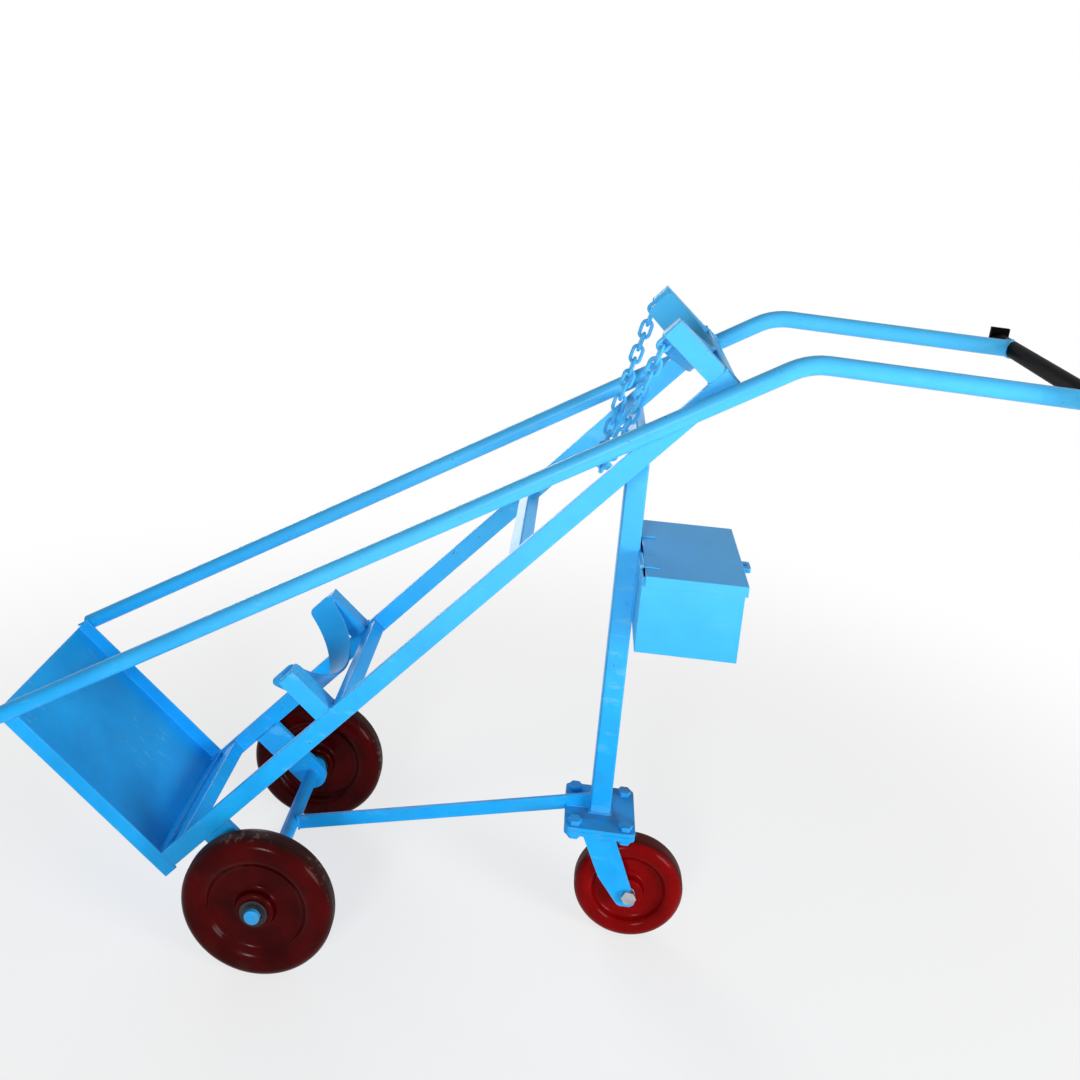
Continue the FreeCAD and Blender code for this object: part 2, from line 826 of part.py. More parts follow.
# Wheels: cast, with a full round rim, a dished web and a short hub
def wheel_body(name, kind, bore):
    radius = getattr(size, f"{kind}_radius")
    half = getattr(size, f"{kind}_width") / 2
    rim = getattr(size, f"{kind}_rim_inner")
    dish = rim - getattr(size, f"{kind}_rim_slope")
    web = getattr(size, f"{kind}_web") / 2
    hub = getattr(size, f"{kind}_hub_radius")
    hub_half = getattr(size, f"{kind}_hub_length") / 2
    body = new_body(name)
    sketch = draw_on(body, "XZ_Plane")
    upper = ((radius, half), (rim, half), (dish, web), (hub, web), (hub, hub_half), (bore, hub_half))
    lower = tuple((across, -height) for across, height in reversed(upper))
    outline(sketch, lower + upper)
    revolve(body, sketch)
    round_edges(body, is_circle(radius), getattr(size, f"{kind}_tread_round"))
    round_edges(body, is_circle(rim), getattr(size, f"{kind}_rim_round"))
    round_edges(body, is_circle(dish), getattr(size, f"{kind}_dish_round"))
    round_edges(body, is_circle_at(hub, web), getattr(size, f"{kind}_hub_fillet"))
    round_edges(body, is_circle_at(hub, hub_half), getattr(size, f"{kind}_hub_round"))
    return body


def build_wheels():
    for side_name, side in SIDES:
        place = on_axle(side).multiply(at(0, 0, wheel_side))
        wheel = wheel_body(f"wheel_{side_name}", "wheel", size.wheel_bush_radius + size.weld_fit)
        keep(wheel, place)
        bore = axle_radius + size.running_fit
        bush = ring_body(f"wheel_bush_{side_name}", size.wheel_bush_radius, bore, size.wheel_hub_length)
        keep(bush, on_axle(side).multiply(at(0, 0, hub_inside)))


# Leg: upright square tube, its top cut to the slope of the cross tube above it
def build_leg():
    face_along, face_height = bed_point(leg_tube_at, -cross_half)
    body = new_body("leg_tube")
    top = face_height - plate_top
    rise = leg_half * tangent(size.bed_angle)
    outer = draw_on(body, "XZ_Plane", -leg_half)
    outline(outer, ((-leg_half, 0), (leg_half, 0), (leg_half, top + rise), (-leg_half, top - rise)))
    pad(body, outer, size.leg_side)
    inner_half = leg_half - size.leg_wall
    inner = draw_on(body, "XZ_Plane", inner_half)
    rectangle(inner, -inner_half, inner_half, -size.leg_wall, top + size.leg_side)
    cut(body, inner, inner_half * 2)
    keep(body, at(face_along, 0, plate_top))


# Brace: flat bar on edge from the axle up to the leg, notched over the edge of the leg plate
brace_half = size.brace_height / 2
plate_run = leg_along - size.plate_length / 2 - axle_along
plate_rise = plate_top - axle_height
leg_run = leg_along - leg_half - axle_along


def brace_angle():
    rise = plate_rise - size.brace_notch
    reach = square_root(plate_run * plate_run + rise * rise)
    return slope_angle(rise, plate_run) + arc_sine(brace_half / reach)


def build_brace():
    angle = brace_angle()
    level = cosine(angle)
    climb = sine(angle)
    notch_run = plate_run - size.weld_fit
    body = new_body("brace_bar")
    sketch = draw_on(body, "XZ_Plane", -size.brace_thickness / 2)
    outline(sketch, ((axle_radius, -brace_half),
                     ((notch_run - brace_half * climb) / level, -brace_half),
                     (notch_run * level + plate_rise * climb, plate_rise * level - notch_run * climb),
                     (leg_run * level + plate_rise * climb, plate_rise * level - leg_run * climb),
                     ((leg_run + brace_half * climb) / level, brace_half),
                     (axle_radius, brace_half)))
    pad(body, sketch, size.brace_thickness)
    keep(body, at(axle_along, 0, axle_height, Rotation(AXIS_Y, -angle.value)))


# Two plates bolted together under the leg
bolt_places = [(along, across) for along in (-1, 1) for across in (-1, 1)]


def plate_body(name, middle_hole):
    body = new_body(name)
    sketch = draw_on(body, "XY_Plane")
    half_length = size.plate_length / 2
    half_width = size.plate_width / 2
    rectangle(sketch, -half_length, half_length, -half_width, half_width)
    for along, across in bolt_places:
        circle(sketch, size.bolt_radius + size.bolt_clearance,
               size.bolt_spacing_along / 2 * along, size.bolt_spacing_across / 2 * across)
    if middle_hole is not None:
        circle(sketch, middle_hole)
    pad(body, sketch, size.plate_thickness)
    round_edges(body, is_upright(size.plate_thickness), size.plate_corner)
    return body


def build_plates():
    keep(plate_body("leg_plate", None), at(leg_along, 0, plate_top - size.plate_thickness))
    castor_plate = plate_body("castor_plate", size.kingpin_radius + size.weld_fit)
    keep(castor_plate, at(leg_along, 0, castor_plate_bottom))


# Hexagon bolts and nuts
def bolt_body(name, width, head, radius, shank):
    body = new_body(name)
    sketch = draw_on(body, "XY_Plane")
    hexagon(sketch, width)
    pad(body, sketch, head)
    stem = draw_on(body, "XY_Plane", -shank)
    circle(stem, radius)
    pad(body, stem, shank)
    return body


def nut_body(name, width, height, radius):
    body = new_body(name)
    sketch = draw_on(body, "XY_Plane")
    hexagon(sketch, width)
    circle(sketch, radius)
    pad(body, sketch, height)
    return body


def build_plate_bolts():
    shank = size.plate_thickness * 2 + size.bolt_nut_height + size.bolt_end
    bolt = bolt_body("castor_bolt", size.bolt_head_width, size.bolt_head_height, size.bolt_radius, shank)
    bore = size.bolt_radius + size.weld_fit
    nut = nut_body("castor_nut", size.bolt_head_width, size.bolt_nut_height, bore)
    for name, template, height in (("castor_bolts", bolt, plate_top),
                                   ("castor_nuts", nut, castor_plate_bottom - size.bolt_nut_height)):
        places = [at(leg_along + size.bolt_spacing_along / 2 * along,
                     size.bolt_spacing_across / 2 * across, height) for along, across in bolt_places]
        group(name, template, places)


# Swivel head: kingpin riveted in the castor plate, two races and a ring of balls
def build_swivel():
    pin = new_body("castor_kingpin")
    sketch = draw_on(pin, "XZ_Plane")
    top = castor_plate_bottom + size.plate_thickness
    head_top = crown_bottom - size.swivel_gap
    head_bottom = head_top - size.kingpin_head_height
    outline(sketch, ((0, head_bottom), (size.kingpin_head_radius, head_bottom),
                     (size.kingpin_head_radius, head_top), (size.kingpin_radius, head_top),
                     (size.kingpin_radius, top), (0, top)))
    revolve(pin, sketch)
    keep(pin, at(leg_along, 0, 0))

    ball_bottom = fork_top + size.race_lower_height
    race_bottom = ball_bottom + size.ball_diameter + size.swivel_gap
    upper = ring_body("castor_race_upper", size.race_outer_radius, size.race_inner_radius,
                      castor_plate_bottom - race_bottom)
    keep(upper, at(leg_along, 0, race_bottom))
    lower = ring_body("castor_race_lower", size.race_outer_radius, size.race_inner_radius,
                      size.race_lower_height)
    keep(lower, at(leg_along, 0, fork_top))

    ball = doc.addObject("Part::Sphere", "castor_ball")
    ball.setExpression("Radius", (size.ball_diameter / 2).formula)
    count = int(size.ball_count.value)
    places = []
    for number in range(count):
        turn = Rotation(Vector(0, 0, 1), 360.0 * number / count)
        centre = at(leg_along, 0, ball_bottom + size.ball_diameter / 2, turn)
        places.append(centre.multiply(at(size.ball_circle_radius, 0, 0)))
    group("castor_balls", ball, places)


# Castor fork: pressed crown with two legs that trail behind the swivel
castor_along = leg_along + size.castor_trail
castor_axle = at(castor_along, 0, size.castor_radius)
fork_inside = size.castor_bush_length / 2
fork_outside = fork_inside + size.fork_sheet


def build_fork():
    body = new_body("castor_fork")
    side = draw_on(body, "XZ_Plane", -fork_outside)
    toe = size.castor_trail - size.fork_toe_half
    heel = size.castor_trail + size.fork_toe_half
    toe_height = size.castor_radius - size.fork_toe_drop
    outline(side, ((-size.fork_top_front, fork_top), (-size.fork_top_front, crown_bottom),
                   (size.fork_kink_along, size.castor_radius + size.fork_kink_rise), (toe, toe_height),
                   (heel, toe_height), (size.fork_top_back, crown_bottom), (size.fork_top_back, fork_top)))
    pad(body, side, fork_outside * 2)

    def is_toe(edge):
        centre = edge.CenterOfMass
        return abs(centre.z - toe_height.value) < 1e-4 and abs(centre.y) < 1e-4

    round_edges(body, is_toe, size.fork_round)
    inside = draw_on(body, "YZ_Plane", size.castor_radius * 2)
    rectangle(inside, -fork_inside, fork_inside, 0, crown_bottom)
    cut_through(body, inside)
    crown = draw_on(body, "XY_Plane", crown_bottom)
    circle(crown, size.race_outer_radius)
    pad(body, crown, size.fork_crown)
    bore = draw_on(body, "XY_Plane", castor_plate_bottom)
    circle(bore, size.kingpin_radius + size.running_fit)
    cut_through(body, bore)
    hole = draw_on(body, "XZ_Plane", size.castor_radius)
    circle(hole, size.castor_bolt_radius + size.weld_fit, size.castor_trail, size.castor_radius)
    cut_through(body, hole)
    keep(body, at(leg_along, 0, 0))


# Castor wheel on a bush that the axle bolt clamps between the fork's legs
def build_castor_wheel():
    wheel = wheel_body("castor_wheel", "castor", size.castor_bush_radius + size.running_fit)
    keep(wheel, castor_axle.multiply(at(0, 0, 0, to_left)))
    bore = size.castor_bolt_radius + size.weld_fit
    bush = ring_body("castor_bush", size.castor_bush_radius, bore, size.castor_bush_length)
    keep(bush, castor_axle.multiply(at(0, fork_inside, 0, to_left)))
    shank = fork_outside * 2 + size.castor_nut_height + size.bolt_end
    bolt = bolt_body("castor_axle_bolt", size.castor_head_width, size.castor_head_height,
                     size.castor_bolt_radius, shank)
    keep(bolt, castor_axle.multiply(at(0, -fork_outside, 0, to_left)))
    nut = nut_body("castor_axle_nut", size.castor_head_width, size.castor_nut_height, bore)
    keep(nut, castor_axle.multiply(at(0, fork_outside, 0, to_right)))


# Toolbox: folded sheet box, welded to the leg by its back
box_along = leg_along + leg_half
box_top = size.box_bottom + size.box_height
lid_under = box_top + size.lid_gap
lid_top = lid_under + size.lid_sheet
lid_outside = size.lid_side_gap + size.lid_sheet
hinge_height = lid_top + size.hinge_leaf / 2


def build_toolbox():
    body = new_body("toolbox_body")
    outside = draw_on(body, "XY_Plane")
    rectangle(outside, 0, size.box_length, -size.box_width / 2, size.box_width / 2)
    pad(body, outside, size.box_height)
    inside = draw_on(body, "XY_Plane", size.box_height)
    half = size.box_width / 2 - size.box_sheet
    rectangle(inside, size.box_sheet, size.box_length - size.box_sheet, -half, half)
    cut(body, inside, size.box_height - size.box_sheet)
    keep(body, at(box_along, 0, size.box_bottom))

    lid = new_body("toolbox_lid")
    reach = size.box_length + lid_outside
    half = size.box_width / 2 + lid_outside
    outside = draw_on(lid, "XY_Plane", lid_top - size.lid_lip - size.box_bottom)
    rectangle(outside, size.lid_back, reach, -half, half)
    pad(lid, outside, size.lid_lip)
    inside = draw_on(lid, "XY_Plane", lid_under - size.box_bottom)
    half = size.box_width / 2 + size.lid_side_gap
    rectangle(inside, 0, size.box_length + size.lid_side_gap, -half, half)
    cut(lid, inside, size.lid_lip)
    keep(lid, at(box_along, 0, size.box_bottom))


# Lid hinges: two butt hinges beside the leg, pin on the line of the box's back
def knuckle(body, start, length, neck):
    barrel = draw_on(body, "XZ_Plane", start)
    circle(barrel, size.knuckle_radius)
    pad(body, barrel, length)
    bridge = draw_on(body, "XZ_Plane", start)
    rectangle(bridge, *neck)
    pad(body, bridge, length)


def hinge_leaf(name, leaf, neck, knuckles):
    body = new_body(name)
    sketch = draw_on(body, "XZ_Plane", -size.hinge_length / 2)
    rectangle(sketch, *leaf)
    pad(body, sketch, size.hinge_length)
    for start, length in knuckles:
        knuckle(body, start, length, neck)
    bore = draw_on(body, "XZ_Plane", size.hinge_length)
    circle(bore, size.hinge_pin_radius + size.running_fit)
    cut_through(body, bore)
    return body


def build_hinges():
    half = size.hinge_length / 2
    gap = size.knuckle_radius + size.knuckle_gap
    thick = size.hinge_leaf
    places = [at(box_along, size.hinge_spacing / 2 * side, hinge_height) for _, side in SIDES]
    fixed = hinge_leaf("hinge_fixed", (-thick, 0, -size.hinge_drop, -gap),
                       (-thick, 0, -gap, 0),
                       ((-half, size.knuckle_length), (half - size.knuckle_length, size.knuckle_length)))
    group("toolbox_hinge_fixed", fixed, places)
    middle = size.hinge_length - (size.knuckle_length + size.knuckle_gap) * 2
    moving = hinge_leaf("hinge_moving", (gap, size.hinge_reach, -thick / 2, thick / 2),
                        (0, gap, -thick / 2, thick / 2), ((-middle / 2, middle),))
    group("toolbox_hinge_moving", moving, places)
    pin = new_body("hinge_pin")
    sketch = draw_on(pin, "XZ_Plane", -half)
    circle(sketch, size.hinge_pin_radius)
    pad(pin, sketch, size.hinge_length)
    group("toolbox_hinge_pins", pin, places)


# Padlock lugs: one tab on the lid's lip over one on the box
def build_lugs():
    lip_outside = size.box_length + lid_outside
    hole_along = lip_outside + size.lug_reach / 2
    lid_lug_bottom = lid_top - size.lid_lip - size.box_bottom
    box_lug_bottom = lid_lug_bottom - size.lug_gap - size.lug_thickness
    for name, start, bottom in (("lid_lug", lip_outside, lid_lug_bottom),
                                ("toolbox_lug", size.box_length, box_lug_bottom)):
        body = new_body(name)
        sketch = draw_on(body, "XY_Plane", bottom)
        rectangle(sketch, start, lip_outside + size.lug_reach, -size.lug_width / 2, size.lug_width / 2)
        circle(sketch, size.lug_hole_radius, hole_along, 0)
        pad(body, sketch, size.lug_thickness)
        outer_end = float(lip_outside + size.lug_reach)

        def is_outer(edge):
            return is_upright(size.lug_thickness)(edge) and edge.CenterOfMass.x > outer_end - 1e-4

        round_edges(body, is_outer, size.lug_corner)
        keep(body, at(box_along, 0, size.box_bottom))


for build in (build_tray, build_lower_rails, build_cross_tubes, build_upper_rails, build_handle, build_posts,
              build_saddles, build_chain_eyes, build_chain, build_axle_brackets, build_axle, build_axle_rings,
              build_wheels, build_leg, build_brace, build_plates, build_plate_bolts, build_swivel, build_fork,
              build_castor_wheel, build_toolbox, build_hinges, build_lugs):
    build()
doc.recompute()

# Every object has to be sound before its file is written
for item in doc.Objects:
    if "Invalid" in item.State or "Error" in item.State:
        raise RuntimeError(f"{item.Label} did not build: {item.State}")
os.makedirs("parts", exist_ok=True)
for item in nodes:
    if item.Shape.isNull() or not item.Shape.isValid():
        raise RuntimeError(f"{item.Label} has no sound shape")
    item.Shape.exportStep(f"parts/{item.Label}.step")
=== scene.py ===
import json
import math

import bmesh
import bpy
from mathutils import Matrix, Vector


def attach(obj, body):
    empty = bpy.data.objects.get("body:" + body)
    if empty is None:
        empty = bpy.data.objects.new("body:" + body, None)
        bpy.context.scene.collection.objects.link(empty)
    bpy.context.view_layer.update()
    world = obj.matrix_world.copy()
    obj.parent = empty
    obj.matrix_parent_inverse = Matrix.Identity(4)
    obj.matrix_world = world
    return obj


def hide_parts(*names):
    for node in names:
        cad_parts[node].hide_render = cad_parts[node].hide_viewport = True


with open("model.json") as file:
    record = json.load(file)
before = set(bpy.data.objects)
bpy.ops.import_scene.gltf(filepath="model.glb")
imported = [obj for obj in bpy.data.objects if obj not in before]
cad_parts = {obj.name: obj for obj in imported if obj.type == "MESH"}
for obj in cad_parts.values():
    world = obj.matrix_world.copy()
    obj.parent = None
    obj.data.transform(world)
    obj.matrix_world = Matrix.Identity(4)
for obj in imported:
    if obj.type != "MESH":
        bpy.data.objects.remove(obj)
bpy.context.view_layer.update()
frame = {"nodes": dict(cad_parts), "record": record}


# Tray: the foot of the trolley, folded from 3 mm steel sheet with two low side flanges.
# A flat bar on edge closes its back between the rails. Both are sprayed with sky blue enamel,
# which heavy loads have scuffed and dulled.
class Signal:
    def __init__(self, graph, socket):
        self.graph = graph
        self.socket = socket

    def maths(self, operation, *values):
        return self.graph.node("ShaderNodeMath", {"operation": operation}, dict(enumerate(values)))

    def __add__(self, other):
        return self.maths("ADD", self, other)

    def __sub__(self, other):
        return self.maths("SUBTRACT", self, other)

    def __rsub__(self, other):
        return self.maths("SUBTRACT", other, self)

    def __mul__(self, other):
        return self.maths("MULTIPLY", self, other)

    __radd__ = __add__
    __rmul__ = __mul__

    def between(self, low, high):
        return self.graph.node("ShaderNodeMapRange", {"interpolation_type": "SMOOTHSTEP"},
                               {"Value": self, "From Min": low, "From Max": high})


class Graph:
    def __init__(self, tree):
        self.tree = tree
        tree.nodes.clear()

    def node(self, kind, settings=None, sockets=None, output=0):
        made = self.tree.nodes.new(kind)
        for setting, value in (settings or {}).items():
            setattr(made, setting, value)
        for name, value in (sockets or {}).items():
            if isinstance(value, Signal):
                self.tree.links.new(value.socket, made.inputs[name])
            else:
                made.inputs[name].default_value = value
        return Signal(self, made.outputs[output]) if made.outputs else None


class Finish(Graph):
    def __init__(self, name):
        self.material = bpy.data.materials.new(name)
        self.material.use_nodes = True
        super().__init__(self.material.node_tree)
        self.place = self.node("ShaderNodeTexCoord", output="Object")

    def noise(self, scale, detail=3.0, stretch=(1, 1, 1)):
        place = self.node("ShaderNodeMapping", {}, {"Vector": self.place, "Scale": stretch})
        return self.node("ShaderNodeTexNoise", {}, {"Vector": place, "Scale": scale, "Detail": detail})

    def mix(self, mask, low, high):
        return self.node("ShaderNodeMix", {"data_type": "RGBA"}, {0: mask, 6: low, 7: high}, output=2)

    def edges(self, radius):
        soft = self.node("ShaderNodeBevel", {"samples": 4}, {"Radius": radius})
        true = self.node("ShaderNodeNewGeometry", output="Normal")
        agreeing = self.node("ShaderNodeVectorMath", {"operation": "DOT_PRODUCT"}, {0: soft, 1: true},
                             output="Value")
        return (1 - agreeing).between(0.015, 0.14)

    def height(self):
        return self.node("ShaderNodeSeparateXYZ", {}, {0: self.place}, output="Z")

    def upward(self):
        facing = self.node("ShaderNodeTexCoord", output="Normal")
        return self.node("ShaderNodeSeparateXYZ", {}, {0: facing}, output="Z").between(0.80, 0.98)

    def shade(self, relief, depth, sockets):
        normal = self.node("ShaderNodeBump", {}, {"Height": relief, "Strength": depth, "Distance": 0.001})
        shader = self.node("ShaderNodeBsdfPrincipled", {}, {**sockets, "Normal": normal})
        self.node("ShaderNodeOutputMaterial", {}, {"Surface": shader})
        return self.material


SKY = (0.010, 0.410, 0.920, 1)
# Paler blue that stands for painted light on the upper parts of the frame
SKY_PAINTED_LIT = (0.080, 0.520, 0.930, 1)
SKY_DEEP = (0.006, 0.330, 0.800, 1)
SKY_RUBBED = (0.20, 0.55, 0.80, 1)
BARE_STEEL = (0.26, 0.27, 0.28, 1)
RUST = (0.110, 0.036, 0.012, 1)
GRIME = (0.085, 0.075, 0.065, 1)


def blue_enamel(name, wear, grime_and_top_shade, rough=0.30):
    finish = Finish(name)
    cloud = finish.noise(7, 4)
    fine = finish.noise(85, 5)
    peel = finish.noise(520, 2)
    streak = finish.noise(26, 6, (1.0, 7.0, 2.5))
    speck = finish.noise(230, 2)
    # Painted light: upper parts are mixed toward a paler, lit blue, more so with height, with a few random
    # pale flecks
    painted_light_by_height = (finish.height() + cloud * 0.12).between(0.32, 0.70)
    mottle = finish.noise(34, 5).between(0.38, 0.64)
    colour = finish.mix(cloud.between(0.30, 0.62) * 0.75 + mottle * 0.25, SKY_DEEP, SKY)
    painted_light_and_flecks = painted_light_by_height * (0.86 + mottle * 0.08) + fine.between(0.52, 0.80) * 0.06
    colour = finish.mix(painted_light_and_flecks, colour, SKY_PAINTED_LIT)
    scuff = streak.between(0.60, 0.68) * cloud.between(0.44, 0.56) * wear
    colour = finish.mix(scuff * 0.40, colour, SKY_RUBBED)
    chip = finish.edges(0.0024) * fine.between(0.46, 0.54) * wear
    pit = speck.between(0.69, 0.74) * cloud.between(0.48, 0.60) * wear
    colour = finish.mix(chip * 0.75, colour, BARE_STEEL)
    colour = finish.mix(pit, colour, RUST)
    low = 1 - finish.height().between(0.05, 0.42)
    # Grime blown on at random, heavier toward the bottom, plus upward faces greyed: partly dust, partly
    # painted shade on top faces, strongest low down
    top_face_shade_and_dust = finish.upward() * (0.55 + 0.45 * mottle)
    blown = finish.noise(16, 6).between(0.44, 0.80) * (0.35 + low) * grime_and_top_shade
    # This mix is real dust and grime plus painted shade on upward faces
    dust = blown + top_face_shade_and_dust * 0.10 + top_face_shade_and_dust * low * grime_and_top_shade * 0.5
    colour = finish.mix(dust, colour, GRIME)
    roughness = rough + fine * 0.12 + scuff * 0.15 + dust * 0.35 + chip * 0.15
    relief = peel * 0.15 + fine * 0.30 - chip * 0.8 - pit * 0.6
    return finish.shade(relief, 0.22, {"Base Color": colour, "Roughness": roughness,
                                       "Specular IOR Level": 0.16})


record = frame["record"]
body_of = {node: body for body, nodes in record["behaviour"]["bodies"].items() for node in nodes}
MERGE_GAP = 1e-6
FLAT_ENOUGH = math.radians(0.4)
SHARP_EDGE = math.radians(48)


def finished(node, finish, fold=0.0005, rim=0.0005, long=0.05, steps=2, crease=38):
    build = bmesh.new()
    build.from_mesh(frame["nodes"][node].data)
    bmesh.ops.remove_doubles(build, verts=build.verts[:], dist=MERGE_GAP)
    bmesh.ops.dissolve_limit(build, angle_limit=FLAT_ENOUGH, verts=build.verts[:], edges=build.edges[:])
    width = max(fold, rim)
    weight = build.edges.layers.float.new("bevel_weight_edge")
    for edge in build.edges:
        if width > 0 and edge.is_manifold and edge.calc_face_angle(0) > SHARP_EDGE:
            edge[weight] = (fold if edge.calc_length() > long else rim) / width
    mesh = bpy.data.meshes.new(node + "_finished")
    build.to_mesh(mesh)
    build.free()
    mesh.materials.append(finish)
    mesh.shade_smooth()
    mesh.set_sharp_from_angle(angle=math.radians(crease))
    piece = bpy.data.objects.new(node + "_finished", mesh)
    bpy.context.scene.collection.objects.link(piece)
    if width > 0:
        rounding = piece.modifiers.new("rounding", "BEVEL")
        rounding.width = width
        rounding.segments = steps
        rounding.limit_method = "WEIGHT"
        rounding.harden_normals = True
        rounding.use_clamp_overlap = True
    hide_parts(node)
    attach(piece, body_of[node])


tray_blue = blue_enamel("tray_blue", 1.0, 0.10, 0.34)
finished("tray_floor", tray_blue, fold=0.0012, rim=0.0006, long=0.03)
finished("tray_back_strip", tray_blue, fold=0.0007)


# Lower rails: two 25 by 8 mm flat bars on edge, the bed of the trolley.
# They are sawn to length, welded into the tray and sprayed with the whole frame.
frame_blue = blue_enamel("frame_blue", 0.75, 0.14)
for side in ("left", "right"):
    finished("lower_rail_" + side, frame_blue, fold=0.0011, rim=0.0006)


# Cross tubes: five short pieces of 20 mm square steel tube welded between the rails.
# Drawn tube has rounded corners, and the cut ends stay sharp under the weld.
for place in ("foot", "lower", "middle", "leg", "top"):
    finished("cross_tube_" + place, frame_blue, fold=0.0022, rim=0.0003, steps=3)


# Upper rails: two round steel tubes, bent once, from the tray's outer edge up to the handle.
# They are sprayed like the frame and polished a little by the hands that lift the trolley.
rail_blue = blue_enamel("rail_blue", 0.65, 0.10, 0.26)
for side in ("left", "right"):
    finished("upper_rail_" + side, rail_blue, fold=0.0003, rim=0.0003)


# Handle: a round steel tube across the two rail ends, painted black, with a plastic cap on each end.
# Its satin paint is rubbed a little where hands grip it.
def satin_black(name, tone, worn, rough, grain):
    finish = Finish(name)
    cloud = finish.noise(14, 4)
    pebble = finish.noise(grain, 3)
    rub = finish.edges(0.0022) * finish.noise(60, 5).between(0.50, 0.66) * worn
    deep_black = (tone, tone, tone * 1.05, 1)
    dull_black = (tone * 2.2, tone * 2.2, tone * 2.2, 1)
    dusty_black = (0.010, 0.010, 0.010, 1)
    colour = finish.mix(cloud.between(0.35, 0.70), deep_black, dull_black)
    colour = finish.mix(rub * 0.7, colour, BARE_STEEL)
    dust = finish.noise(30, 6).between(0.55, 0.85) * 0.15
    colour = finish.mix(dust, colour, dusty_black)
    return finish.shade(pebble * 0.7 - rub * 0.6, 0.25,
                        {"Base Color": colour, "Roughness": rough + pebble * 0.16 + dust * 0.3,
                         "Specular IOR Level": 0.012})


handle_black = satin_black("handle_black", 0.0010, 0.12, 0.34, 420)
cap_black = satin_black("cap_black", 0.0014, 0.0, 0.46, 900)
finished("handle_crossbar", handle_black, fold=0.0, rim=0.0)
finished("crossbar_end_caps", cap_black, fold=0.0016, rim=0.0016, long=0.01, steps=3)


# Posts and saddles: short square bars on the rails carry two 3 mm strips rolled to the load's radius.
# The hollow of each strip is scuffed where the load lies in it.
saddle_blue = blue_enamel("saddle_blue", 1.0, 0.20, 0.34)
for side in ("left", "right"):
    for level in ("lower", "upper"):
        finished(f"{level}_post_{side}", frame_blue, fold=0.0011, rim=0.0009)
for level in ("lower", "upper"):
    finished(level + "_saddle", saddle_blue, fold=0.0006, rim=0.0006, long=0.01)


# Chain and eyes: welded links of 5 mm wire between two bent wire eyes on the upper posts.
# The links were sprayed on the trolley, so the enamel is worn where one turns in the next.
chain_blue = blue_enamel("chain_blue", 0.9, 0.30, 0.32)
finished("chain_eyes", frame_blue, fold=0.0, rim=0.0, crease=60)
finished("chain", chain_blue, fold=0.0, rim=0.0, crease=60)


# Axle: a 20 mm round bar through two 8 mm plates under the rails, sprayed with the frame and its collars.
# Washers and spring clips of dark oily steel keep the wheels in place.
def plain_metal(name, tone, rough, stain):
    finish = Finish(name)
    cloud = finish.noise(60, 4)
    turned = finish.noise(340, 3, (1.0, 6.0, 1.0))
    spot = finish.noise(150, 5).between(0.56, 0.74) * stain
    shaded = tuple(part * 0.75 for part in tone)
    colour = finish.mix(cloud.between(0.32, 0.70), shaded + (1,), tone + (1,))
    colour = finish.mix(spot, colour, RUST)
    return finish.shade(turned * 0.5 - spot * 0.5, 0.20,
                        {"Base Color": colour, "Roughness": rough + turned * 0.16 + spot * 0.3,
                         "Metallic": 1 - spot * 0.7})


dark_steel = plain_metal("dark_steel", (0.055, 0.055, 0.060), 0.38, 0.35)
under_blue = blue_enamel("under_blue", 0.85, 0.34, 0.32)
for side in ("left", "right"):
    finished("axle_bracket_" + side, under_blue, fold=0.0010, rim=0.0008, long=0.03)
finished("wheel_axle", under_blue, fold=0.0, rim=0.0010, long=1.0)
finished("axle_collars", under_blue, fold=0.0, rim=0.0010, long=1.0)
finished("axle_washers", dark_steel, fold=0.0, rim=0.0004, long=1.0)
finished("axle_circlips", dark_steel, fold=0.0, rim=0.0002, long=1.0)


# Main wheels: cast iron discs with a heavy rounded rim, turned on the rim and sprayed dark red.
# The tread is worn down to brown iron, and a bronze bush is pressed into each hub.
TREAD_DARK = (0.016, 0.006, 0.005, 1)
BARE_IRON = (0.120, 0.062, 0.040, 1)


def cast_red(name, centre, radius, lit, deep, ring_scale):
    finish = Finish(name)
    flat = finish.node("ShaderNodeMapping", {}, {"Vector": finish.place, "Scale": (1, 0, 1),
                                                 "Location": (-centre[0], 0, -centre[1])})
    reach = finish.node("ShaderNodeVectorMath", {"operation": "LENGTH"}, {0: flat}, output="Value")
    cloud = finish.noise(22, 4)
    sand = finish.noise(260, 4)
    fine = finish.noise(110, 5)
    rings = finish.node("ShaderNodeTexNoise", {"noise_dimensions": "1D"},
                        {"W": reach * ring_scale, "Scale": 1.0, "Detail": 2.0})
    colour = finish.mix(cloud.between(0.34, 0.68), deep, lit)
    tread = reach.between(radius - 0.0035, radius - 0.0008)
    chip = finish.edges(0.0020) * fine.between(0.54, 0.62)
    dust = finish.noise(30, 6).between(0.56, 0.84) * reach.between(radius * 0.35, radius * 0.95)
    colour = finish.mix(dust * 0.10, colour, GRIME)
    colour = finish.mix(chip * 0.4, colour, RUST)
    colour = finish.mix(tread * 0.75, colour, TREAD_DARK)
    bare = tread * fine.between(0.55, 0.60) * cloud.between(0.46, 0.60)
    colour = finish.mix(bare * 0.8, colour, BARE_IRON)
    roughness = 0.12 + sand * 0.06 + dust * 0.25 + tread * 0.30 + chip * 0.2
    relief = sand * 0.18 + rings * 0.20 - chip * 0.5 - bare * 0.5
    return finish.shade(relief, 0.12, {"Base Color": colour, "Roughness": roughness,
                                       "Specular IOR Level": 0.045})


